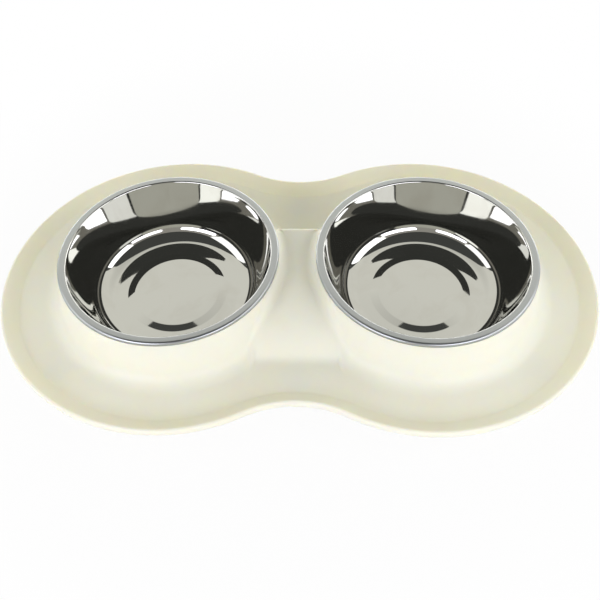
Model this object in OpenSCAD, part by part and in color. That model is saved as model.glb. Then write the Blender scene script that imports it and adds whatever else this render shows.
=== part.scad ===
// Double pet bowl: two stainless steel bowls dropped into one moulded holder.
// The holder is a shallow figure-of-eight tray with a raised lip, a hollow pedestal
// under each bowl and a low bridge between the pedestals. Rubber feet sit in collars
// under the tray. The origin is on the floor, under the middle of the bridge.

/* [Bowls] */
// Diameter of a bowl over its rim
bowl_d = 130; // [118:1:150]
// Distance between the middles of the two bowls
bowl_spacing = 151.6; // [146:0.1:165]
// Depth of a bowl from the top of its rim to its floor
bowl_depth = 36.8; // [32:0.2:42]
// Thickness of the steel sheet
bowl_sheet = 0.8; // [0.5:0.1:1]
// Width of the rim, from its outer edge to the mouth
rim_w = 5; // [4.5:0.1:6.5]
// How far the outer edge of the rim is turned down
rim_drop = 2.4; // [1.8:0.1:2.8]
// Radius of the bend at the outer edge of the rim
rim_edge_r = 1.4; // [1.2:0.1:1.6]
// Radius of the bend at the mouth
mouth_bend_r = 1.1; // [1.1:0.1:1.8]
// Radius of the very slow outward curve of the wall
bowl_wall_r = 600; // [200:10:1200]
// Radius of the bend between wall and floor
floor_bend_r = 12.3; // [8:0.1:14]
// Diameter of the flat floor
bowl_floor_d = 78; // [68:1:84]
// Diameter of the raised disc pressed into the floor
disc_d = 52.4; // [40:0.1:60]
// Width of the sloping step round the raised disc
disc_step_w = 4.8; // [3:0.1:6]
// Height of the raised disc
disc_h = 0.8; // [0.4:0.1:1.6]
// Room between the underside of a bowl and the floor
bowl_room = 1.4; // [1:0.1:4]

/* [Holder] */
// Thickness of the moulded wall
holder_wall = 2.5; // [2:0.1:3]
// Clearance between the bowl's bends and the edge that carries it
seat_clearance = 0.2; // [0.1:0.05:0.25]
// Height of the upright neck at the top of a pedestal
neck_h = 3; // [2.9:0.1:5]
// Slope of the pedestal wall away from upright, in degrees
pedestal_draft = 16; // [8:1:20]
// Radius of the hollow curve at the foot of a pedestal
pedestal_foot_r = 12; // [8:0.5:15]
// Width of the flat trough round a pedestal
trough_w = 14; // [13.8:0.1:22]
// How much further in the tray reaches at its waist than at its lobes
waist_draw = 18.1; // [12:0.1:22]

/* [Lip] */
// Height of the lip above the trough
lip_h = 5.6; // [4:0.1:8]
// Thickness of the rounded top of the lip
lip_t = 2.6; // [2:0.1:3.4]
// How far the outer edge hangs below the sloping wall
lip_bead_h = 1; // [0.4:0.1:2]
// Slope of the lip's inner face, in degrees
lip_slope = 35; // [33:1:50]
// Radius of the hollow curve between lip and trough
lip_foot_r = 3; // [2:0.5:6]

/* [Bridge] */
// Drop from the top of the bowls to the top of the bridge
bridge_drop = 8; // [6:0.5:12]
// Reach of the top in front of the row's middle, before its edge is rounded
bridge_front = 36.3; // [30:0.1:40]
// Slope of the front face, in degrees
front_slope = 48; // [42:1:60]
// Radius of the long crown between the top and the front face
front_crown_r = 47; // [20:1:55]
// Radius of the hollow curve at the foot of the front face
front_foot_r = 7; // [4:0.5:12]
// Reach of the top behind the row's middle, before its edge is rounded
bridge_rear = 27; // [20:0.5:32]
// Slope of the rear face, in degrees
rear_slope = 55; // [45:1:70]
// Radius of the rounded rear edge
rear_edge_r = 3.2; // [3.1:0.1:5]
// Radius of the hollow curve at the foot of the rear face
rear_foot_r = 8; // [4:0.5:12]

/* [Feet] */
// Diameter of a rubber foot
foot_d = 11; // [9:0.1:11]
// Height of a foot
foot_h = 6.6; // [5.5:0.1:8]
// Width of the chamfer round the sole
foot_chamfer = 0.5; // [0.3:0.1:0.8]
// Clearance between a foot and its collar
collar_clearance = 0.15; // [0.1:0.05:0.2]
// Thickness of the collar's wall
collar_t = 1.2; // [0.8:0.1:1.2]
// Height of the collar
collar_h = 2.6; // [1:0.1:4]
// Direction of the outer feet from the middle of their lobe, in degrees
foot_angle = 45; // [30:1:70]

/* [Hidden] */
$fn = 96;
// Steps in each short arc of an outline, and in the bridge's long crown
arc_steps = 5;
crown_steps = 10;
// Steps in the outline of the tray, round each lobe and along each side of the waist
lobe_steps = 40;
waist_steps = 12;
// How far a cut runs past the face that it opens
overrun = 1;

rim_r = bowl_d / 2;
mouth_r = rim_r - rim_w;
half_spacing = bowl_spacing / 2;
rim_z = bowl_room + bowl_sheet + bowl_depth;
bowl_floor_z = rim_z - bowl_depth;

seat_z = rim_z - bowl_sheet;
seat_hole_r = mouth_r + mouth_bend_r + seat_clearance;
neck_r = rim_r - rim_edge_r - seat_clearance;

trough_z = foot_h + holder_wall;
pedestal_base_r = neck_r + (seat_z - neck_h - trough_z) * tan(pedestal_draft);
pedestal_reach = pedestal_base_r + pedestal_foot_r * tan(45 - pedestal_draft / 2);

lip_z = trough_z + lip_h;
lip_r = lip_t / 2;
// Run of the lip's inner face down to the trough, before and after its foot is rounded
lip_run = lip_r + lip_r * sin(lip_slope) + (lip_h - lip_r + lip_r * cos(lip_slope)) / tan(lip_slope);
lip_reach = lip_run + lip_foot_r * tan(lip_slope / 2);
// Underside of the lip's sloping wall, where it starts to rise and where it meets the outer edge
lip_rise_x = lip_run - holder_wall * tan(lip_slope / 2);
lip_under_z = trough_z + (lip_run - lip_t) * tan(lip_slope) - holder_wall / cos(lip_slope);

lobe_r = pedestal_reach + trough_w + lip_reach;
waist_half = lobe_r - waist_draw;
waist_r = (half_spacing * half_spacing + waist_half * waist_half - lobe_r * lobe_r) / (2 * waist_draw);
waist_y = waist_half + waist_r;
// Direction in which a lobe meets the waist, seen from the middle of the lobe
join_angle = atan2(waist_y, -half_spacing);

bridge_h = rim_z - bridge_drop - trough_z;
front_reach = face_reach(bridge_front, front_slope, front_foot_r);
rear_reach = face_reach(bridge_rear, rear_slope, rear_foot_r);

foot_r = foot_d / 2;
foot_ring_r = pedestal_reach + trough_w / 2;
outer_foot_x = half_spacing + foot_ring_r * cos(foot_angle);
outer_foot_y = foot_ring_r * sin(foot_angle);
middle_foot_y = (front_reach + waist_half - lip_reach) / 2;

function arc(middle, r, from, to, count = arc_steps) = [
    for (i = [0:count])
        let (a = from + (to - from) * i / count)
        middle + r * [cos(a), sin(a)]
];

// Point at distance rp from p and rq from q, on the left of the way from p to q
function meet(p, rp, q, rq) =
    let (
        d = norm(q - p),
        along = (d * d + rp * rp - rq * rq) / (2 * d),
        across = sqrt(rp * rp - along * along),
        way = (q - p) / d
    )
    p + along * way + across * [-way[1], way[0]];

function direction(from, to) = atan2(to[1] - from[1], to[0] - from[0]);

function reversed(points) = [for (i = [len(points) - 1:-1:0]) points[i]];

// One side of the bowl's sheet, from its middle to its rim; depth 0 is the side that is seen
function bowl_side(depth) =
    let (
        floor_bend = [bowl_floor_d / 2, bowl_floor_z + floor_bend_r],
        mouth_bend = [mouth_r + mouth_bend_r, rim_z - mouth_bend_r],
        edge_bend = [rim_r - rim_edge_r, rim_z - rim_edge_r],
        wall = meet(floor_bend, bowl_wall_r - floor_bend_r, mouth_bend, bowl_wall_r + mouth_bend_r),
        low = direction(wall, floor_bend),
        high = direction(wall, mouth_bend)
    )
    concat(
        [
            [0, bowl_floor_z + disc_h - depth],
            [disc_d / 2, bowl_floor_z + disc_h - depth],
            [disc_d / 2 + disc_step_w, bowl_floor_z - depth]
        ],
        arc(floor_bend, floor_bend_r + depth, -90, low),
        arc(wall, bowl_wall_r + depth, low, high),
        arc(mouth_bend, mouth_bend_r - depth, high + 180, 90),
        arc(edge_bend, rim_edge_r - depth, 90, 0),
        [[rim_r - depth, rim_z - rim_drop]]
    );

module bowl() {
    color("silver")
    rotate_extrude()
    polygon(concat(bowl_side(0), reversed(bowl_side(bowl_sheet))));
}

// Angle of each point of a stepped arc; the last one is left to the arc that follows
function steps(from, to, count) = [for (i = [0:count - 1]) from + (to - from) * i / count];

// Figure-of-eight outline of the tray as one loop, moved outwards by reach
function outline(reach) =
    let (
        lobe = [
            for (a = steps(-join_angle, join_angle, lobe_steps))
                [half_spacing, 0] + (lobe_r + reach) * [cos(a), sin(a)]
        ],
        waist = [
            for (a = steps(join_angle - 180, -join_angle, waist_steps))
                [0, waist_y] + (waist_r - reach) * [cos(a), sin(a)]
        ]
    )
    concat(lobe, waist, [for (p = lobe) -p], [for (p = waist) -p]);

// Cross-section of the lip: how far it reaches past the outline, and its height
function lip_section() = concat(
    [
        [-lip_reach, foot_h],
        [-lip_rise_x, foot_h],
        [-lip_t, lip_under_z],
        [-lip_t, lip_under_z - lip_bead_h],
        [0, lip_under_z - lip_bead_h]
    ],
    arc([-lip_r, lip_z - lip_r], lip_r, 0, lip_slope + 90),
    arc([-lip_reach, trough_z + lip_foot_r], lip_foot_r, lip_slope - 90, -90)
);

// The lip is one closed ring: its section carried round the outline
module lip() {
    section = lip_section();
    bands = len(section);
    loop = 2 * (lobe_steps + waist_steps);
    polyhedron(
        points = [for (p = section) for (q = outline(p[0])) [q[0], q[1], p[1]]],
        faces = [
            for (band = [0:bands - 1])
                for (i = [0:loop - 1])
                    let (
                        this = band * loop,
                        above = (band + 1) % bands * loop,
                        next = (i + 1) % loop
                    )
                    [this + i, above + i, above + next, this + next]
        ]
    );
}

module tray() {
    lip();
    translate([0, 0, foot_h])
    linear_extrude(holder_wall)
    polygon(outline(-(lip_reach + lip_run) / 2));
}

// Wall of a pedestal in profile, from its foot up; depth 0 is the side that is seen
function pedestal_side(depth) = concat(
    arc([pedestal_reach, trough_z + pedestal_foot_r], pedestal_foot_r + depth, 270, 180 + pedestal_draft),
    [[neck_r - depth / cos(pedestal_draft), seat_z - neck_h]]
);

module pedestal() {
    rotate_extrude()
    polygon(concat(
        [[0, foot_h], [pedestal_reach, foot_h]],
        pedestal_side(0),
        [[neck_r, seat_z], [0, seat_z]]
    ));
}

module pedestal_hollow() {
    rotate_extrude()
    polygon(concat(
        [[0, foot_h - overrun], [pedestal_reach, foot_h - overrun]],
        pedestal_side(holder_wall),
        [[0, seat_z - neck_h]]
    ));
    translate([0, 0, foot_h])
    cylinder(r = seat_hole_r, h = seat_z + overrun - foot_h);
}

// How far a face of the bridge reaches from the row's middle to the end of its hollow foot
function face_reach(edge, slope, foot_r) = edge + bridge_h / tan(slope) + foot_r * tan(slope / 2);

// Front or rear half of the bridge's cross-section, from its foot to its top
function bridge_side(depth, edge, slope, crown_r, foot_r, count) = concat(
    arc([face_reach(edge, slope, foot_r), trough_z + foot_r], foot_r + depth, 270, 270 - slope),
    arc(
        [edge - crown_r * tan(slope / 2), trough_z + bridge_h - crown_r],
        crown_r - depth, 90 - slope, 90, count
    )
);

module bridge_block(depth, bottom) {
    front = bridge_side(depth, bridge_front, front_slope, front_crown_r, front_foot_r, crown_steps);
    rear = bridge_side(depth, bridge_rear, rear_slope, rear_edge_r, rear_foot_r, arc_steps);
    rotate([90, 0, 90])
    translate([0, 0, -half_spacing])
    linear_extrude(bowl_spacing)
    polygon(concat(
        [[-front_reach, bottom], [rear_reach, bottom]],
        rear,
        reversed([for (p = front) [-p[0], p[1]]])
    ));
}

module foot_places() {
    for (x = [-outer_foot_x, outer_foot_x])
        for (y = [-outer_foot_y, outer_foot_y])
            translate([x, y, 0])
            children();
    for (y = [-middle_foot_y, middle_foot_y])
        translate([0, y, 0])
        children();
}

module collar() {
    inner_r = foot_r + collar_clearance;
    translate([0, 0, foot_h - collar_h])
    difference() {
        cylinder(r = inner_r + collar_t, h = collar_h);
        translate([0, 0, -overrun])
        cylinder(r = inner_r, h = collar_h + overrun);
    }
}

module holder() {
    color("cornsilk")
    union() {
        difference() {
            union() {
                tray();
                for (x = [-half_spacing, half_spacing])
                    translate([x, 0, 0])
                    pedestal();
                bridge_block(0, foot_h);
            }
            for (x = [-half_spacing, half_spacing])
                translate([x, 0, 0])
                pedestal_hollow();
            bridge_block(holder_wall, foot_h - overrun);
        }
        foot_places() collar();
    }
}

module foot() {
    color("dimgray")
    rotate_extrude()
    polygon([
        [0, 0],
        [foot_r - foot_chamfer, 0],
        [foot_r, foot_chamfer],
        [foot_r, foot_h],
        [0, foot_h]
    ]);
}

module left_bowl() translate([-half_spacing, 0, 0]) bowl();
module right_bowl() translate([half_spacing, 0, 0]) bowl();
module foot_front_left() translate([-outer_foot_x, -outer_foot_y, 0]) foot();
module foot_front_middle() translate([0, -middle_foot_y, 0]) foot();
module foot_front_right() translate([outer_foot_x, -outer_foot_y, 0]) foot();
module foot_rear_left() translate([-outer_foot_x, outer_foot_y, 0]) foot();
module foot_rear_middle() translate([0, middle_foot_y, 0]) foot();
module foot_rear_right() translate([outer_foot_x, outer_foot_y, 0]) foot();

holder();
left_bowl();
right_bowl();
foot_front_left();
foot_front_middle();
foot_front_right();
foot_rear_left();
foot_rear_middle();
foot_rear_right();
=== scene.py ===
"""Looks of the double pet bowl: a moulded holder, two polished steel bowls and rubber feet."""

import logging
import math
from dataclasses import dataclass
from enum import Enum

import bmesh
import bpy
import numpy as np
from mathutils import Matrix, Vector


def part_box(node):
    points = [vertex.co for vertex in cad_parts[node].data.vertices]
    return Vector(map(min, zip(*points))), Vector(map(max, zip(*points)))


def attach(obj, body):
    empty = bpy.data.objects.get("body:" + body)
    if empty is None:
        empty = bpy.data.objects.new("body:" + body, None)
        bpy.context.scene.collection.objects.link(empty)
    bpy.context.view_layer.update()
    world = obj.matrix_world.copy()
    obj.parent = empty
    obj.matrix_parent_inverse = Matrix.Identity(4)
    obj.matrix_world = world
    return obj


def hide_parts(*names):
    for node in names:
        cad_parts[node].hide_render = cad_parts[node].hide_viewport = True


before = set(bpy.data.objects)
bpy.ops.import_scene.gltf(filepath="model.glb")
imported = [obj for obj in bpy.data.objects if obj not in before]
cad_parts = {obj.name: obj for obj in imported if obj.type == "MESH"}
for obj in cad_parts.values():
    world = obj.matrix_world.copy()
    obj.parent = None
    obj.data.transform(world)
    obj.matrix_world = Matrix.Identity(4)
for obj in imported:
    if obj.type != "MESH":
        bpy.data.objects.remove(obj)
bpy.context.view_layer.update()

LOG = logging.getLogger("double_pet_bowl")
MM = 0.001
# Vertices closer than this, in metres, are one vertex of a piece
WELD = 1e-6
# Slack in degrees for a column that lies exactly on a corner of the outline
SLACK = 1e-9
FOOT_NODES = [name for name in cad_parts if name.startswith("foot_")]

Profile = list[tuple[float, float]]


class Slot(Enum):
    """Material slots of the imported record."""

    HOLDER = "holder_plastic"
    BOWL = "bowl_steel"
    FOOT = "foot_rubber"


class Side(Enum):
    """The two faces of a moulded wall or a pressed sheet."""

    UPPER = 0
    LOWER = 1


def linear(code: str) -> tuple[float, float, float, float]:
    """Turn an sRGB colour into the linear values that a shader takes.

    Args:
        code: The colour as six hex digits after a hash sign.

    Returns:
        Red, green, blue and an alpha of one.
    """
    channels = [int(code[i:i + 2], 16) / 255 for i in (1, 3, 5)]
    red, green, blue = (c / 12.92 if c <= 0.04045 else ((c + 0.055) / 1.055) ** 2.4 for c in channels)
    return red, green, blue, 1.0


def put_node(
    tree: bpy.types.NodeTree, kind: str, sockets: dict | None = None, **settings: object
) -> bpy.types.Node:
    """Add a node with its settings, values and links.

    Args:
        tree: The node tree that takes the node.
        kind: Blender's name for the type of node.
        sockets: A value, or the output to link, for each input named here.
        **settings: Attributes of the node itself.

    Returns:
        The new node.
    """
    made = tree.nodes.new(kind)
    for name, value in settings.items():
        setattr(made, name, value)
    for name, value in (sockets or {}).items():
        if isinstance(value, bpy.types.NodeSocket):
            tree.links.new(value, made.inputs[name])
        else:
            made.inputs[name].default_value = value
    return made


def per_metre(spacing_mm: float) -> float:
    """Scale of a noise texture whose pattern repeats every so many millimetres."""
    return 1 / (spacing_mm * MM)


def empty_material(name: str) -> bpy.types.Material:
    """Make a material with nodes on and none in it."""
    material = bpy.data.materials.new(name)
    material.use_nodes = True
    material.node_tree.nodes.clear()
    return material


def object_place(tree: bpy.types.NodeTree) -> bpy.types.NodeSocket:
    """Place on the piece itself, in metres."""
    return put_node(tree, "ShaderNodeTexCoord").outputs["Object"]


def noise(
    tree: bpy.types.NodeTree, place: bpy.types.NodeSocket, spacing_mm: float, detail: float, **more: float
) -> bpy.types.NodeSocket:
    """Add a noise.

    Args:
        tree: The node tree that takes it.
        place: The coordinates that it is laid out in.
        spacing_mm: Distance after which its pattern repeats.
        detail: How many finer layers it has.
        **more: Values for other inputs of the noise.

    Returns:
        Its level, from 0 to 1.
    """
    sockets = {"Vector": place, "Scale": per_metre(spacing_mm), "Detail": detail, **more}
    return put_node(tree, "ShaderNodeTexNoise", sockets).outputs["Fac"]


def two_tone(
    tree: bpy.types.NodeTree, level: bpy.types.NodeSocket, stops: tuple[float, float], codes: tuple[str, str]
) -> bpy.types.NodeSocket:
    """Add a change from one colour to another between two levels of a pattern."""
    ramp = put_node(tree, "ShaderNodeValToRGB", {"Fac": level})
    for element, stop, code in zip(ramp.color_ramp.elements, stops, codes):
        element.position, element.color = stop, linear(code)
    return ramp.outputs["Color"]


def remap(
    tree: bpy.types.NodeTree, value: bpy.types.NodeSocket, ends: tuple[float, float],
    start: tuple[float, float] = (0.0, 1.0), **settings: object,
) -> bpy.types.NodeSocket:
    """Add a map of a value onto another range.

    Args:
        tree: The node tree that takes it.
        value: The value.
        ends: The results at both ends of the range.
        start: The range of the value itself.
        **settings: Attributes of the node.

    Returns:
        The mapped value.
    """
    names = ("From Min", "From Max", "To Min", "To Max")
    sockets = {"Value": value, **dict(zip(names, (*start, *ends)))}
    return put_node(tree, "ShaderNodeMapRange", sockets, **settings).outputs["Result"]


def relief(
    tree: bpy.types.NodeTree, pattern: bpy.types.NodeSocket, height_mm: float, **more: bpy.types.NodeSocket
) -> bpy.types.NodeSocket:
    """Add a bump of so many millimetres; the normal that it starts from can be given as well."""
    sockets = {"Height": pattern, "Distance": height_mm * MM, "Strength": 1.0, **more}
    return put_node(tree, "ShaderNodeBump", sockets).outputs["Normal"]


def combined(
    tree: bpy.types.NodeTree, operation: str, first: bpy.types.NodeSocket, second: bpy.types.NodeSocket
) -> bpy.types.NodeSocket:
    """Add a sum, product or other simple operation on two values."""
    return put_node(tree, "ShaderNodeMath", {0: first, 1: second}, operation=operation).outputs[0]


@dataclass(frozen=True)
class SatinPolypropylene:
    """Cream polypropylene, injection moulded in a finely textured tool.

    The texture spreads each highlight into a soft sheen, and light that enters the wall
    comes out again nearby, which warms the inner faces of the lip.
    """

    name: str = "cream_satin_polypropylene"
    colour: str = "#FAF6E5"
    cloud_colour: str = "#F9F4E1"
    cloud_mm: float = 45.0
    cloud_levels: tuple[float, float] = (0.35, 0.65)
    roughness: float = 0.42
    roughness_spread: float = 0.04
    ior: float = 1.49
    # Real tool texture is about 0.1 mm; it is drawn at 0.7 mm so that it shows at all
    texture_mm: float = 0.7
    texture_height_mm: float = 0.012
    scatter_share: float = 0.6
    scatter_mm: float = 4.0
    # Red light travels further in the wall than green and blue
    scatter_radius: tuple[float, float, float] = (1.0, 0.8, 0.45)

    def material(self) -> bpy.types.Material:
        """Build the finish.

        Returns:
            The material, ready for a slot.
        """
        material = empty_material(self.name)
        tree = material.node_tree
        place = object_place(tree)
        cloud = noise(tree, place, self.cloud_mm, 3.0)
        texture = noise(tree, place, self.texture_mm, 2.0)
        sheen = (self.roughness - self.roughness_spread, self.roughness + self.roughness_spread)
        shader = put_node(
            tree, "ShaderNodeBsdfPrincipled",
            {
                "Base Color": two_tone(tree, cloud, self.cloud_levels, (self.cloud_colour, self.colour)),
                "Roughness": remap(tree, texture, sheen),
                "Normal": relief(tree, texture, self.texture_height_mm),
                "IOR": self.ior,
                "Subsurface Weight": self.scatter_share,
                "Subsurface Radius": self.scatter_radius,
                "Subsurface Scale": self.scatter_mm * MM,
            },
        )
        put_node(tree, "ShaderNodeOutputMaterial", {"Surface": shader.outputs["BSDF"]})
        return material


@dataclass(frozen=True)
class PolishedStainlessSteel:
    """Stainless steel sheet, deep drawn and buffed to a mirror while it spins.

    Buffing leaves a clear mirror with a faint circular lay, drawing leaves slow waves that
    bend the edges of a reflection, and use leaves hazy water marks on the floor.
    """

    name: str = "polished_stainless_steel"
    colour: str = "#CACAC6"
    mark_colour: str = "#C5C4BF"
    roughness: float = 0.035
    haze: float = 0.07
    # The rim is only brushed, from this radius outwards
    rim_mm: float = 60.6
    # Half the width of the change between mirror and brushed rim
    rim_change_mm: float = 0.5
    rim_colour: str = "#B6B9BB"
    rim_roughness: float = 0.3
    # Buffing lines are finer than 0.1 mm; only slow rings of their lay are drawn, this far apart
    lay_mm: float = 5.655
    lay_height_mm: float = 0.0001
    wave_mm: float = 16.0
    wave_height_mm: float = 0.006
    mark_mm: float = 18.0
    mark_distortion: float = 0.6
    # Levels of the pattern between which the marks fade in, for their haze and for their tint
    haze_levels: tuple[float, float] = (0.52, 0.72)
    tint_levels: tuple[float, float] = (0.5, 0.8)

    def material(self) -> bpy.types.Material:
        """Build the finish.

        Returns:
            The material, ready for a slot.
        """
        material = empty_material(self.name)
        tree = material.node_tree
        place = object_place(tree)
        marks = noise(tree, place, self.mark_mm, 4.0, Distortion=self.mark_distortion)
        hazy = remap(tree, marks, (self.roughness, self.haze), self.haze_levels)
        flat = put_node(
            tree, "ShaderNodeVectorMath", {0: place, 1: (1.0, 1.0, 0.0)}, operation="MULTIPLY",
        ).outputs["Vector"]
        radius = put_node(tree, "ShaderNodeVectorMath", {0: flat}, operation="LENGTH").outputs["Value"]
        change = ((self.rim_mm - self.rim_change_mm) * MM, (self.rim_mm + self.rim_change_mm) * MM)
        on_rim = remap(tree, radius, (0.0, 1.0), change)
        dull = put_node(tree, "ShaderNodeMix", {0: on_rim, 2: hazy, 3: self.rim_roughness}).outputs[0]
        tint = two_tone(tree, marks, self.tint_levels, (self.colour, self.mark_colour))
        tone = put_node(
            tree, "ShaderNodeMix", {0: on_rim, 6: tint, 7: linear(self.rim_colour)}, data_type="RGBA",
        ).outputs[2]
        slow = relief(tree, noise(tree, place, self.wave_mm, 0.0), self.wave_height_mm)
        # A wave texture of scale 1 repeats every 2 pi / 20 metres
        lay = put_node(
            tree, "ShaderNodeTexWave",
            {"Vector": place, "Scale": per_metre(self.lay_mm) * 2 * math.pi / 20, "Distortion": 0.0},
            wave_type="RINGS", rings_direction="Z",
        ).outputs["Fac"]
        shader = put_node(
            tree, "ShaderNodeBsdfPrincipled",
            {
                "Base Color": tone,
                "Metallic": 1.0,
                "Roughness": dull,
                "Normal": relief(tree, lay, self.lay_height_mm, Normal=slow),
            },
        )
        put_node(tree, "ShaderNodeOutputMaterial", {"Surface": shader.outputs["BSDF"]})
        return material


@dataclass(frozen=True)
class MouldedRubber:
    """Dark grey rubber, compression moulded: dull, with a slightly uneven skin."""

    name: str = "dark_moulded_rubber"
    colour: str = "#363636"
    dust_colour: str = "#454443"
    roughness: float = 0.78
    ior: float = 1.52
    skin_mm: float = 0.8
    skin_height_mm: float = 0.03
    dust_levels: tuple[float, float] = (0.4, 0.75)

    def material(self) -> bpy.types.Material:
        """Build the finish.

        Returns:
            The material, ready for a slot.
        """
        material = empty_material(self.name)
        tree = material.node_tree
        skin = noise(tree, object_place(tree), self.skin_mm, 3.0)
        shader = put_node(
            tree, "ShaderNodeBsdfPrincipled",
            {
                "Base Color": two_tone(tree, skin, self.dust_levels, (self.colour, self.dust_colour)),
                "Roughness": self.roughness,
                "IOR": self.ior,
                "Normal": relief(tree, skin, self.skin_height_mm),
            },
        )
        put_node(tree, "ShaderNodeOutputMaterial", {"Surface": shader.outputs["BSDF"]})
        return material


@dataclass(frozen=True)
class Patch:
    """A grid of points in millimetres, in rows of columns, that becomes a sheet of quads."""

    points: np.ndarray
    closed: bool

    def mirrored(self) -> "Patch":
        """The same sheet on the other side of the plane between the bowls."""
        return Patch(self.points * np.array([-1.0, 1.0, 1.0]), self.closed)


def arc(centre: tuple[float, float], radius: float, start: float, end: float, steps: int) -> Profile:
    """Points along an arc.

    Args:
        centre: Its middle.
        radius: Its radius.
        start: Direction of the first point from the middle, in degrees.
        end: Direction of the last point.
        steps: How many steps lie between them.

    Returns:
        The points, both ends included.
    """
    angles = [math.radians(start + (end - start) * i / steps) for i in range(steps + 1)]
    return [(centre[0] + radius * math.cos(a), centre[1] + radius * math.sin(a)) for a in angles]


def line(start: tuple[float, float], end: tuple[float, float], steps: int) -> Profile:
    """Points along a straight line, both ends left out."""
    return [
        (start[0] + (end[0] - start[0]) * i / steps, start[1] + (end[1] - start[1]) * i / steps)
        for i in range(1, steps)
    ]


def rounded(corners: list[tuple[float, float, float]], steps: int = 5) -> Profile:
    """Round the inner corners of an open outline.

    Args:
        corners: Each corner's two coordinates and its radius; the two ends take none.
        steps: Steps in each arc.

    Returns:
        The outline with an arc at each corner.
    """
    points: Profile = [corners[0][:2]]
    for before, here, after in zip(corners, corners[1:], corners[2:]):
        corner = Vector(here[:2])
        back = (Vector(before[:2]) - corner).normalized()
        ahead = (Vector(after[:2]) - corner).normalized()
        half = back.angle(ahead) / 2
        reach = here[2] / math.tan(half)
        middle = corner + (back + ahead).normalized() * (here[2] / math.sin(half))
        first = corner + back * reach - middle
        turn = first.angle_signed(corner + ahead * reach - middle)
        start = math.degrees(math.atan2(first.y, first.x))
        points += arc(tuple(middle), here[2], start, start - math.degrees(turn), steps)
    points.append(corners[-1][:2])
    return points


def turned(profile: Profile, segments: int) -> Patch:
    """Turn a profile of radius and height round the upright axis."""
    section = np.array(profile)
    angles = np.arange(segments) * 2 * math.pi / segments
    across = section[:, :1]
    height = np.repeat(section[:, 1:], segments, axis=1)
    return Patch(np.stack([across * np.cos(angles), across * np.sin(angles), height], axis=-1), True)


def build_piece(
    name: str, patches: list[Patch], material: bpy.types.Material, place: Vector | None = None
) -> bpy.types.Object:
    """Join patches into one closed, smooth-shaded piece.

    Args:
        name: The piece's name.
        patches: Its sheets, which meet along their edges.
        material: Its finish.
        place: Where its own origin goes, in metres.

    Returns:
        The piece, linked to the scene.
    """
    corners: list[np.ndarray] = []
    faces: list[tuple[int, int, int, int]] = []
    count = 0
    for patch in patches:
        rows, columns = patch.points.shape[:2]
        corners.append(patch.points.reshape(-1, 3) * MM)
        for row in range(rows - 1):
            for column in range(columns if patch.closed else columns - 1):
                after = (column + 1) % columns
                low, high = count + row * columns, count + (row + 1) * columns
                faces.append((low + column, low + after, high + after, high + column))
        count += rows * columns
    mesh = bpy.data.meshes.new(name)
    mesh.from_pydata(np.concatenate(corners).tolist(), [], faces)
    shape = bmesh.new()
    shape.from_mesh(mesh)
    bmesh.ops.remove_doubles(shape, verts=shape.verts, dist=WELD)
    bmesh.ops.recalc_face_normals(shape, faces=shape.faces)
    open_edges = sum(not edge.is_manifold for edge in shape.edges)
    shape.to_mesh(mesh)
    shape.free()
    mesh.shade_smooth()
    mesh.materials.append(material)
    piece = bpy.data.objects.new(name, mesh)
    piece.location = place or Vector()
    bpy.context.scene.collection.objects.link(piece)
    LOG.info("%s: %d faces, %d open edges", name, len(mesh.polygons), open_edges)
    return piece


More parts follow.
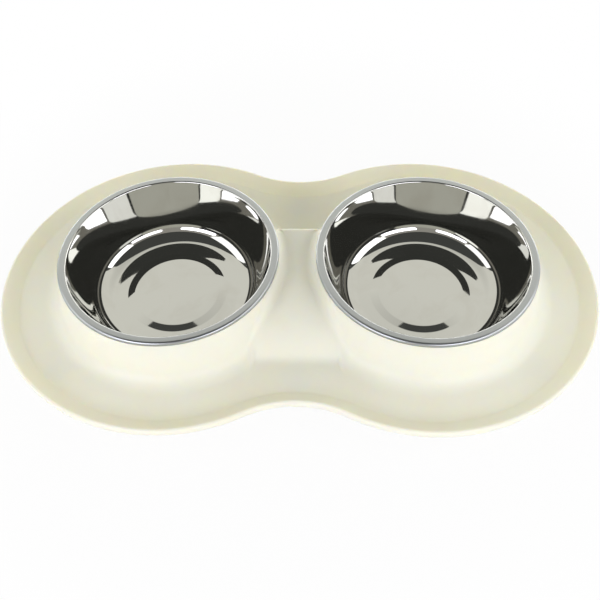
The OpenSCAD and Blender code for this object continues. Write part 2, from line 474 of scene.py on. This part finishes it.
@dataclass
class Bowl:
    """A pressed steel bowl, in millimetres from its own axis and the floor."""

    node: str
    sheet: float = 0.8
    depth: float = 36.8
    rim_width: float = 5.0
    rim_drop: float = 2.4
    edge_radius: float = 1.4
    mouth_radius: float = 1.1
    wall_radius: float = 600.0
    floor_bend_radius: float = 12.3
    floor_diameter: float = 78.0
    disc_diameter: float = 52.4
    step_width: float = 4.8
    disc_height: float = 0.8
    segments: int = 192

    def __post_init__(self) -> None:
        """Take the place and the outer sizes from the frame."""
        low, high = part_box(self.node)
        self.place = Vector(((low.x + high.x) / 2, (low.y + high.y) / 2, 0))
        self.rim_radius = (high.x - low.x) / 2 / MM
        self.rim_height = high.z / MM

    def side(self, side: Side) -> Profile:
        """Profile of one face of the sheet, from the middle to the rim.

        Args:
            side: The face that is seen from above, or the one below it.

        Returns:
            Points of radius and height.
        """
        inset = self.sheet * side.value
        floor = self.rim_height - self.depth
        bend = Vector((self.floor_diameter / 2, floor + self.floor_bend_radius))
        mouth = Vector((
            self.rim_radius - self.rim_width + self.mouth_radius, self.rim_height - self.mouth_radius,
        ))
        edge = (self.rim_radius - self.edge_radius, self.rim_height - self.edge_radius)
        gap = mouth - bend
        low_reach = self.wall_radius - self.floor_bend_radius
        high_reach = self.wall_radius + self.mouth_radius
        along = (gap.length_squared + low_reach ** 2 - high_reach ** 2) / (2 * gap.length)
        way = gap.normalized()
        wall = bend + way * along + Vector((-way.y, way.x)) * math.sqrt(low_reach ** 2 - along ** 2)
        low, high = (math.degrees(math.atan2(p.y - wall.y, p.x - wall.x)) for p in (bend, mouth))
        disc = floor + self.disc_height - inset
        step = rounded(
            [
                (0.0, disc, 0.0),
                (self.disc_diameter / 2, disc, self.step_width),
                (self.disc_diameter / 2 + self.step_width, floor - inset, self.step_width),
                (bend.x, floor - inset, 0.0),
            ],
            steps=8,
        )
        return (
            [step[0]] + line(step[0], step[1], 6) + step[1:-1]
            + line(step[-2], step[-1], 4)
            + arc(tuple(bend), self.floor_bend_radius + inset, -90, low, 12)
            + arc(tuple(wall), self.wall_radius + inset, low, high, 24)[1:]
            + arc(tuple(mouth), self.mouth_radius - inset, high + 180, 90, 10)[1:]
            + line((mouth.x, self.rim_height - inset), (edge[0], self.rim_height - inset), 3)
            + arc(edge, self.edge_radius - inset, 90, 0, 8)
            + [(self.rim_radius - inset, self.rim_height - self.rim_drop)]
        )

    def build(self, steel: bpy.types.Material) -> bpy.types.Object:
        """Make the bowl and hang it on its own body."""
        profile = self.side(Side.UPPER) + self.side(Side.LOWER)[::-1]
        piece = build_piece(f"{self.node}_sheet", [turned(profile, self.segments)], steel, self.place)
        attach(piece, self.node)
        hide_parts(self.node)
        return piece


@dataclass(frozen=True)
class BridgeFace:
    """The front or the rear face of the bridge, in millimetres and degrees."""

    # Reach of the top from the middle of the row to the edge, before the edge is rounded
    edge: float
    slope: float
    crest_radius: float
    foot_radius: float

    def height(self, out: np.ndarray, inset: float, base: float, rise: float) -> np.ndarray:
        """Height of the bridge in front of or behind the middle of the row.

        Args:
            out: Distances from the middle of the row towards this face.
            inset: Depth of the face under the upper one.
            base: Height of the trough.
            rise: Height of the bridge's top above the trough.

        Returns:
            The height at each distance.
        """
        tilt = math.radians(self.slope)
        crest, foot = self.crest_radius - inset, self.foot_radius + inset
        crest_y = self.edge - self.crest_radius * math.tan(tilt / 2)
        crest_z = base + rise - self.crest_radius
        foot_y = self.edge + rise / math.tan(tilt) + self.foot_radius * math.tan(tilt / 2)
        foot_z = base + self.foot_radius
        foot_start = foot_y - foot * math.sin(tilt)
        hollow = foot_z - np.sqrt(np.clip(foot ** 2 - (out - foot_y) ** 2, 0, None))
        plane = foot_z - foot * math.cos(tilt) + (foot_start - out) * math.tan(tilt)
        crown = crest_z + np.sqrt(np.clip(crest ** 2 - (out - crest_y) ** 2, 0, None))
        height = np.where(out > foot_start, hollow, plane)
        height = np.where(out < crest_y + crest * math.sin(tilt), crown, height)
        height = np.where(out < crest_y, crest_z + crest, height)
        return np.where(out > foot_y, base - inset, height)


@dataclass
class Holder:
    """The moulded holder: tray, lip, two pedestals and the bridge, in millimetres.

    Half of it is a fan of columns that run outwards from the axis of one pedestal. Each
    column climbs over seat, neck, wall and blend, and ends at the lip or at the plane
    between the bowls, where the mirrored half takes over.
    """

    wall: float = 2.5
    seat_clearance: float = 0.2
    neck_height: float = 3.0
    neck_blend: float = 4.0
    edge_break: float = 0.4
    draft: float = 16.0
    foot_radius: float = 12.0
    bridge_blend: float = 8.0
    # How far the change between the two blends is spread, in degrees round the pedestal
    blend_spread: float = 2.5
    lip_height: float = 5.6
    lip_thickness: float = 2.6
    lip_bead: float = 1.0
    lip_slope: float = 35.0
    lip_foot: float = 3.0
    waist_draw: float = 18.1
    bridge_drop: float = 8.0
    bridge_front: BridgeFace = BridgeFace(edge=36.3, slope=48.0, crest_radius=47.0, foot_radius=7.0)
    bridge_rear: BridgeFace = BridgeFace(edge=27.0, slope=55.0, crest_radius=3.2, foot_radius=8.0)
    collar_wall: float = 1.2
    collar_clearance: float = 0.15
    collar_edge: float = 0.3
    # Depth under the neck at which the neck's blend has run out
    neck_run: float = 1.5
    # Directions between which the columns lie closest, and the steps between all of them, in degrees
    dense_from: float = 150.0
    dense_to: float = 163.0
    column_steps: tuple[float, ...] = (2.0, 0.7, 0.8, 0.25, 1.2)
    blend_steps: int = 12

    def __post_init__(self) -> None:
        """Work out every place from the frame and the sizes above."""
        bowl = Bowl("right_bowl")
        low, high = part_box("holder")
        foot_low, foot_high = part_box("foot_front_right")
        self.half_spacing = bowl.place.x / MM
        self.lobe_radius = high.y / MM
        self.foot_height = foot_high.z / MM
        self.collar_inner = (foot_high.x - foot_low.x) / 2 / MM + self.collar_clearance
        self.collar_low = low.z / MM
        self.seat = bowl.rim_height - bowl.sheet
        self.hole_radius = bowl.rim_radius - bowl.rim_width + bowl.mouth_radius + self.seat_clearance
        self.neck_radius = bowl.rim_radius - bowl.edge_radius - self.seat_clearance
        self.trough = self.foot_height + self.wall
        self.shoulder = self.seat - self.neck_height
        slope, half_slope = math.radians(self.lip_slope), math.radians(self.lip_slope / 2)
        self.lip_top = self.trough + self.lip_height
        self.lip_radius = self.lip_thickness / 2
        self.lip_run = (
            self.lip_radius * (1 + math.sin(slope))
            + (self.lip_height - self.lip_radius + self.lip_radius * math.cos(slope)) / math.tan(slope)
        )
        self.lip_reach = self.lip_run + self.lip_foot * math.tan(half_slope)
        self.lip_rise = self.lip_run - self.wall * math.tan(half_slope)
        self.lip_under = (
            self.trough + (self.lip_run - self.lip_thickness) * math.tan(slope) - self.wall / math.cos(slope)
        )
        waist_half = self.lobe_radius - self.waist_draw
        self.waist_radius = (
            (self.half_spacing ** 2 + waist_half ** 2 - self.lobe_radius ** 2) / (2 * self.waist_draw)
        )
        self.waist_middle = waist_half + self.waist_radius
        self.join_angle = math.degrees(math.atan2(self.waist_middle, -self.half_spacing))
        self.corner_angle = math.degrees(math.atan2(waist_half - self.lip_reach, -self.half_spacing))
        self.bridge_rise = bowl.rim_height - self.bridge_drop - self.trough
        self.angles = self.columns()
        self.turn = np.radians(self.angles)

    def columns(self) -> np.ndarray:
        """Directions of the columns, closest together where edges and the waist cross them."""
        stops = [0.0, self.join_angle, self.corner_angle, self.dense_from, self.dense_to, 180.0]
        half: list[float] = []
        for start, end, step in zip(stops, stops[1:], self.column_steps):
            half += list(np.linspace(start, end, math.ceil((end - start) / step), endpoint=False))
        half.append(180.0)
        forward = np.array(half)
        return np.concatenate([-forward[:0:-1], forward[:-1]])

    def ground(self, x: np.ndarray, y: np.ndarray, inset: float) -> np.ndarray:
        """Height of trough and bridge, without the pedestals.

        Args:
            x: Places along the row of bowls, on the half of the right bowl.
            y: Places from front to rear.
            inset: Depth of the face under the upper one.

        Returns:
            The height at each place.
        """
        front = self.bridge_front.height(-y, inset, self.trough, self.bridge_rise)
        rear = self.bridge_rear.height(y, inset, self.trough, self.bridge_rise)
        return np.where(x > self.half_spacing, self.trough - inset, np.where(y < 0, front, rear))

    def wall_at(self, z: np.ndarray | float, inset: float) -> np.ndarray | float:
        """Radius of the pedestal's drafted wall at a height."""
        tilt = math.radians(self.draft)
        return self.neck_radius - inset / math.cos(tilt) + (self.shoulder - z) * math.tan(tilt)

    def along(self, reach: np.ndarray, inset: float) -> np.ndarray:
        """Height of the ground at a distance from the pedestal's axis, in every column."""
        x = self.half_spacing + reach * np.cos(self.turn)
        return self.ground(x, reach * np.sin(self.turn), inset)

    def blend(self, inset: float) -> tuple[np.ndarray, np.ndarray]:
        """Hollow blend between the pedestal's wall and the ground, in every column.

        Args:
            inset: Depth of the face under the upper one.

        Returns:
            Radii and heights, in rows from the wall out to the ground.
        """
        tilt = math.radians(self.draft)
        near_wall = np.full_like(self.turn, self.neck_radius + self.foot_radius / 2)
        lift = self.along(near_wall, 0) - self.trough
        apart = (self.angles[:, None] - self.angles + 180) % 360 - 180
        weight = np.exp(-0.5 * (apart / self.blend_spread) ** 2) * np.gradient(self.angles)
        weight = weight / weight.sum(axis=1, keepdims=True)
        share = weight @ lift / self.bridge_rise
        radius = self.foot_radius + (self.bridge_blend - self.foot_radius) * share + inset

        def middle(reach: np.ndarray) -> tuple[np.ndarray, np.ndarray, np.ndarray]:
            """Middle of a blend that touches the ground at a reach, and the ground's slope there."""
            nudge = 0.01
            slope = (self.along(reach + nudge, inset) - self.along(reach - nudge, inset)) / (2 * nudge)
            length = np.sqrt(1 + slope ** 2)
            return reach - radius * slope / length, self.along(reach, inset) + radius / length, slope

        near = np.full_like(self.turn, self.neck_radius - 2 * self.wall)
        far = np.full_like(self.turn, self.neck_radius + 4 * self.foot_radius)
        halvings = 50
        for _ in range(halvings):
            guess = (near + far) / 2
            across, height = middle(guess)[:2]
            too_far = (across - self.wall_at(height, inset)) * math.cos(tilt) > radius
            near, far = np.where(too_far, near, guess), np.where(too_far, guess, far)
        across, height, slope = middle((near + far) / 2)
        start = math.pi + tilt
        end = 1.5 * math.pi + np.arctan(slope)
        angle = start + (end - start) * np.linspace(0, 1, self.blend_steps + 1)[:, None]
        return (across + radius * np.cos(angle)) @ weight.T, (height + radius * np.sin(angle)) @ weight.T

    def ends(self) -> np.ndarray:
        """Distance from the pedestal's axis at which each column meets the lip or the middle plane."""
        away = np.abs(self.angles)
        cosine, sine = np.cos(self.turn), np.abs(np.sin(self.turn))
        waist_x, waist_y = -self.half_spacing, self.waist_middle
        ring = self.waist_radius + self.lip_reach
        forward = cosine * waist_x + sine * waist_y
        under = np.clip(forward ** 2 - (waist_x ** 2 + waist_y ** 2 - ring ** 2), 0, None)
        waist = forward - np.sqrt(under)
        middle = self.half_spacing / np.clip(-cosine, 1e-6, None)
        reach = np.where(away <= self.join_angle + SLACK, self.lobe_radius - self.lip_reach, waist)
        return np.where(away >= self.corner_angle - SLACK, middle, reach)

    def placed(self, radii: np.ndarray, heights: np.ndarray) -> np.ndarray:
        """Points of rows of radii and heights, each column in its own direction."""
        radii, heights = np.broadcast_arrays(radii, heights)
        x = self.half_spacing + radii * np.cos(self.turn)
        return np.stack([x, radii * np.sin(self.turn), heights], axis=-1)

    def face(self, start: Profile, inset: float, wall_rows: int, ground_rows: int) -> Patch:
        """One face of the moulding, from the seat hole out to the lip or the middle plane.

        Args:
            start: Radii and heights shared by all columns, down to the top of the wall.
            inset: Depth of the face under the upper one.
            wall_rows: Rows down the wall.
            ground_rows: Rows across trough and bridge.

        Returns:
            The patch.
        """
        blend_r, blend_z = self.blend(inset)
        shared = np.array(start)
        ones = np.ones_like(self.turn)
        down = np.linspace(0, 1, wall_rows + 1)[1:-1, None]
        wall_r = shared[-1, 0] + (blend_r[0] - shared[-1, 0]) * down
        wall_z = shared[-1, 1] + (blend_z[0] - shared[-1, 1]) * down
        out = np.linspace(0, 1, ground_rows + 1)[1:, None]
        ground_r = blend_r[-1] + (self.ends() - blend_r[-1]) * out
        ground_z = np.stack([self.along(row, inset) for row in ground_r])
        radii = np.concatenate([shared[:, :1] * ones, wall_r, blend_r, ground_r])
        heights = np.concatenate([shared[:, 1:] * ones, wall_z, blend_z, ground_z])
        return Patch(self.placed(radii, heights), True)

    def lip(self) -> Patch:
        """The lip, carried along the outline from its inner foot, over its top, to the underside."""
        slope = self.lip_slope
        low_edge = self.lip_under - self.lip_bead
        section = (
            arc((-self.lip_reach, self.trough + self.lip_foot), self.lip_foot, -90, slope - 90, 7)
            + arc((-self.lip_radius, self.lip_top - self.lip_radius), self.lip_radius, slope + 90, 0, 12)
            + rounded(
                [
                    (0.0, self.lip_top - 1.5 * self.lip_radius, 0.0),
                    (0.0, low_edge, self.edge_break),
                    (-self.lip_thickness, low_edge, self.edge_break),
                    (-self.lip_thickness, self.lip_under, self.edge_break),
                    (-self.lip_rise, self.foot_height, self.lip_foot),
                    (-self.lip_reach, self.foot_height, 0.0),
                ]
            )
        )
        inside = np.abs(self.angles) <= self.corner_angle + SLACK
        angles, turn, ends = self.angles[inside], self.turn[inside], self.ends()[inside]
        inner_x = self.half_spacing + ends * np.cos(turn)
        inner_y = ends * np.sin(turn)
        on_waist = np.abs(angles) > self.join_angle
        side = np.sign(inner_y)
        from_waist = np.arctan2(inner_y - side * self.waist_middle, inner_x)
        direction = np.where(on_waist, from_waist + math.pi, turn)
        rows = []
        for reach, height in section:
            shift = reach + self.lip_reach
            x = inner_x + shift * np.cos(direction)
            y = inner_y + shift * np.sin(direction)
            rows.append(np.stack([x, y, np.full_like(x, height)], axis=-1))
        return Patch(np.stack(rows), False)

    def collars(self) -> list[Patch]:
        """The shallow rings under the tray that hold the feet."""
        outer = self.collar_inner + self.collar_wall
        root = self.foot_height + self.edge_break / 2
        profile = rounded(
            [
                (outer + 2 * self.edge_break, root, 0.0),
                (outer, self.foot_height - self.edge_break / 2, self.edge_break),
                (outer, self.collar_low, self.collar_edge),
                (self.collar_inner, self.collar_low, self.collar_edge),
                (self.collar_inner, root, 0.0),
            ],
            steps=4,
        )
        ring = turned(profile + [profile[0]], segments=48)
        patches = []
        for node in FOOT_NODES:
            low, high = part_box(node)
            middle = (low + high) / 2 / MM
            patches.append(Patch(ring.points + np.array([middle.x, middle.y, 0.0]), True))
        return patches

    def build(self, plastic: bpy.types.Material) -> bpy.types.Object:
        """Make the holder and hang it on its own body."""
        reach = self.wall_at(self.shoulder, self.wall) - self.hole_radius
        hole_low = self.shoulder + reach / math.tan(math.radians(self.draft))
        wall_top = self.shoulder - self.neck_run
        outside = rounded(
            [
                (self.hole_radius, hole_low, 0.0),
                (self.hole_radius, self.seat, self.edge_break),
                (self.neck_radius, self.seat, self.edge_break),
                (self.neck_radius, self.shoulder, self.neck_blend),
                (self.wall_at(wall_top, 0), wall_top, 0.0),
            ]
        )
        inside = [(self.hole_radius, hole_low)]
        halves = [
            self.face(outside, 0, wall_rows=8, ground_rows=22),
            self.face(inside, self.wall, wall_rows=8, ground_rows=14),
            self.lip(),
        ]
        halves += [patch.mirrored() for patch in halves]
        piece = build_piece("holder_shell", halves + self.collars(), plastic)
        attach(piece, "holder")
        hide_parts("holder")
        return piece


@dataclass
class Foot:
    """A rubber foot, in millimetres from its own axis and the floor."""

    node: str
    edge: float = 0.5
    dimple_radius: float = 2.4
    dimple_depth: float = 0.6
    segments: int = 64

    def build(self, rubber: bpy.types.Material) -> bpy.types.Object:
        """Make the foot, which rides with the holder that it is glued to."""
        low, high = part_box(self.node)
        radius, top = (high.x - low.x) / 2 / MM, high.z / MM
        place = Vector(((low.x + high.x) / 2, (low.y + high.y) / 2, 0))
        profile = rounded(
            [
                (0.0, self.dimple_depth, 0.0),
                (self.dimple_radius, self.dimple_depth, self.edge / 2),
                (self.dimple_radius + self.dimple_depth, 0.0, self.edge / 2),
                (radius, 0.0, self.edge),
                (radius, top, self.edge / 4),
                (0.0, top, 0.0),
            ]
        )
        piece = build_piece(f"{self.node}_rubber", [turned(profile, self.segments)], rubber, place)
        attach(piece, "holder")
        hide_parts(self.node)
        return piece


def toward(azimuth: float, elevation: float) -> tuple[float, float, float]:
    """Direction from the object; azimuth 0 is the front and 90 the right, in degrees."""
    across, up = math.radians(azimuth), math.radians(elevation)
    return math.sin(across) * math.cos(up), -math.cos(across) * math.cos(up), math.sin(up)


@dataclass(frozen=True)
class Softbox:
    """A rectangular studio lamp on the wall of the tent, in degrees and metres."""

    name: str
    azimuth: float
    elevation: float
    size: tuple[float, float]
    # Brightness of its face
    radiance: float
    colour: str = "#FFFFFF"
    distance: float = 0.73

    def hang(self) -> None:
        """Put the lamp in the scene, turned to the object."""
        lamp = bpy.data.lights.new(self.name, "AREA")
        lamp.shape = "RECTANGLE"
        lamp.size, lamp.size_y = self.size
        lamp.energy = self.radiance * math.pi * self.size[0] * self.size[1]
        lamp.color = linear(self.colour)[:3]
        place = Vector(toward(self.azimuth, self.elevation)) * self.distance
        holder = bpy.data.objects.new(self.name, lamp)
        holder.location = place
        holder.rotation_euler = (-place).to_track_quat("-Z", "Y").to_euler()
        holder.visible_camera = False
        bpy.context.scene.collection.objects.link(holder)
        LOG.info("lamp %s", self.name)


@dataclass(frozen=True)
class TentWall:
    """A curved cloth wall of the light tent, which lamps outside the tent make glow evenly."""

    name: str
    azimuths: tuple[float, float]
    elevations: tuple[float, float]
    colour: str
    distance: float = 0.78
    # Share of the glow that reaches dull surfaces; the rest only shows in the steel
    dull_share: float = 1.0
    # Share of the glow that is left at the top edge, and where it starts to fall off, in degrees
    top_share: float = 1.0
    fall_start: float = 50.0
    # How far the top comes down at both ends, in degrees
    shoulder: float = 0.0
    steps: int = 48

    def hang(self) -> None:
        """Put the wall in the scene, out of the camera's sight."""
        start, end = self.azimuths
        low, high = self.elevations
        points, faces = [], []
        for i in range(self.steps + 1):
            share = i / self.steps
            top = high - self.shoulder * abs(2 * share - 1) ** 3
            for j in range(self.steps + 1):
                x, y, z = toward(start + (end - start) * share, low + (top - low) * j / self.steps)
                points.append((x * self.distance, y * self.distance, z * self.distance))
        for i in range(self.steps):
            for j in range(self.steps):
                first = i * (self.steps + 1) + j
                faces.append((first, first + 1, first + self.steps + 2, first + self.steps + 1))
        mesh = bpy.data.meshes.new(self.name)
        mesh.from_pydata(points, [], faces)
        material = empty_material(self.name)
        tree = material.node_tree
        dull = put_node(tree, "ShaderNodeLightPath").outputs["Is Diffuse Ray"]
        share = remap(tree, dull, (1.0, self.dull_share))
        height = put_node(tree, "ShaderNodeSeparateXYZ", {0: object_place(tree)}).outputs["Z"]
        fall_end = max(high, self.fall_start + 1)
        span = tuple(self.distance * math.sin(math.radians(a)) for a in (self.fall_start, fall_end))
        fall = remap(tree, height, (1.0, self.top_share), span)
        strength = combined(tree, "MULTIPLY", share, fall)
        cloth = put_node(tree, "ShaderNodeEmission", {"Color": linear(self.colour), "Strength": strength})
        put_node(tree, "ShaderNodeOutputMaterial", {"Surface": cloth.outputs["Emission"]})
        # Each ray finds the wall by itself, because a sampled lamp would ignore the share above
        material.cycles.emission_sampling = "NONE"
        mesh.materials.append(material)
        wall = bpy.data.objects.new(self.name, mesh)
        wall.visible_camera = False
        bpy.context.scene.collection.objects.link(wall)
        LOG.info("tent wall %s", self.name)


@dataclass
class Studio:
    """A pale floor in a light tent, and the camera at the photograph's viewing angle.

    The tent is white behind the object and dark overhead, with a window on each side and
    low lamps in front, which is what the polished bowls mirror.
    """

    floor_size: float = 12.0
    floor_colour: str = "#FBFBFA"
    # Share of plain white in the floor close to the object and far from it, in metres
    floor_glow: tuple[float, float] = (0.93, 1.0)
    floor_fade: tuple[float, float] = (0.17, 0.3)
    # The camera: its direction and distance from the point that it looks at, in degrees and metres
    azimuth: float = 1.98
    elevation: float = 52.28
    roll: float = -1.38
    distance: float = 0.4182
    target: tuple[float, float] = (0.0021, -0.0349)
    lens: float = 45.0
    sensor: float = 36.0

    def build_floor(self) -> None:
        """Lay the floor, which shows white to the camera and in the steel and keeps soft shadows."""
        half = self.floor_size / 2
        corners = [(-half, -half, 0), (half, -half, 0), (half, half, 0), (-half, half, 0)]
        mesh = bpy.data.meshes.new("floor")
        mesh.from_pydata(corners, [], [(0, 1, 2, 3)])
        material = empty_material("pale_studio_paper")
        tree = material.node_tree
        paper = put_node(tree, "ShaderNodeBsdfDiffuse", {"Color": linear(self.floor_colour)})
        glow = put_node(tree, "ShaderNodeEmission", {"Strength": 1.0})
        ray = put_node(tree, "ShaderNodeLightPath")
        seen = combined(tree, "MAXIMUM", ray.outputs["Is Camera Ray"], ray.outputs["Is Glossy Ray"])
        seen = combined(tree, "MAXIMUM", seen, ray.outputs["Is Transmission Ray"])
        away = put_node(
            tree, "ShaderNodeVectorMath", {0: object_place(tree)}, operation="LENGTH",
        ).outputs["Value"]
        fade = remap(tree, away, self.floor_glow, self.floor_fade, interpolation_type="SMOOTHSTEP")
        share = combined(tree, "MULTIPLY", seen, fade)
        mixed = put_node(
            tree, "ShaderNodeMixShader",
            {"Fac": share, 1: paper.outputs["BSDF"], 2: glow.outputs["Emission"]},
        )
        put_node(tree, "ShaderNodeOutputMaterial", {"Surface": mixed.outputs["Shader"]})
        mesh.materials.append(material)
        floor = bpy.data.objects.new("floor", mesh)
        bpy.context.scene.collection.objects.link(floor)
        LOG.info("floor")

    def build_room(self) -> None:
        """Make the room behind the tent plain white."""
        world = bpy.data.worlds.new("room")
        world.use_nodes = True
        tree = world.node_tree
        tree.nodes.clear()
        air = put_node(tree, "ShaderNodeBackground", {"Color": linear("#FFFFFF"), "Strength": 1.0})
        put_node(tree, "ShaderNodeOutputWorld", {"Surface": air.outputs["Background"]})
        bpy.context.scene.world = world

    def build_tent(self) -> None:
        """Hang the tent's walls and lamps."""
        for part in (
            TentWall("dark_canopy", (-180.0, 180.0), (-2.0, 90.0), "#4E4F4D", distance=0.82, steps=96),
            TentWall(
                "back_sweep", (112.0, 248.0), (-2.0, 72.0), "#F8F7EE",
                dull_share=0.66, top_share=0.78, shoulder=24.0,
            ),
            TentWall("front_wall", (-60.0, 60.0), (-2.0, 44.0), "#AAA7A0"),
            TentWall("left_skirt", (-106.0, -62.0), (-2.0, 16.0), "#FFFFFF"),
            TentWall("right_skirt", (62.0, 106.0), (-2.0, 16.0), "#FFFFFF"),
            Softbox("left_window", -84.0, 33.5, (0.54, 0.33), 1.8),
            Softbox("right_window", 84.0, 33.5, (0.54, 0.33), 2.5),
            Softbox("back_left_lamp", 142.0, 6.0, (0.5, 0.18), 3.4),
            Softbox("back_lamp", 180.0, 6.0, (0.5, 0.18), 3.4),
            Softbox("back_right_lamp", -142.0, 6.0, (0.5, 0.18), 3.4),
            Softbox("front_left_lamp", -35.0, 23.5, (0.58, 0.26), 4.4, "#F4F4FF"),
            Softbox("front_right_lamp", 35.0, 23.5, (0.58, 0.26), 3.9, "#F4F4FF"),
        ):
            part.hang()

    def build_camera(self) -> None:
        """Set the camera where the photograph was taken from."""
        back = Vector(toward(self.azimuth, self.elevation))
        roll = math.radians(self.roll)
        level = (-back).cross(Vector((0, 0, 1))).normalized()
        upright = level.cross(-back)
        right = level * math.cos(roll) + upright * math.sin(roll)
        up = upright * math.cos(roll) - level * math.sin(roll)
        data = bpy.data.cameras.new("camera")
        data.lens, data.sensor_width = self.lens, self.sensor
        camera = bpy.data.objects.new("camera", data)
        turn = Matrix((right, up, back)).transposed().to_4x4()
        middle = Vector((*self.target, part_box("left_bowl")[1].z))
        camera.matrix_world = Matrix.Translation(middle + back * self.distance) @ turn
        bpy.context.scene.collection.objects.link(camera)
        bpy.context.scene.camera = camera

    def build(self) -> None:
        """Set up everything around the object."""
        self.build_camera()
        self.build_floor()
        self.build_room()
        self.build_tent()
        bpy.context.scene.view_settings.view_transform = "Standard"


def main() -> None:
    """Build the studio and the set."""
    logging.basicConfig(level=logging.INFO, format="%(message)s")
    Studio().build()
    Holder().build(SatinPolypropylene().material())
    steel = PolishedStainlessSteel().material()
    for node in ("left_bowl", "right_bowl"):
        Bowl(node).build(steel)
    rubber = MouldedRubber().material()
    for node in FOOT_NODES:
        Foot(node).build(rubber)


if __name__ == "__main__":
    main()
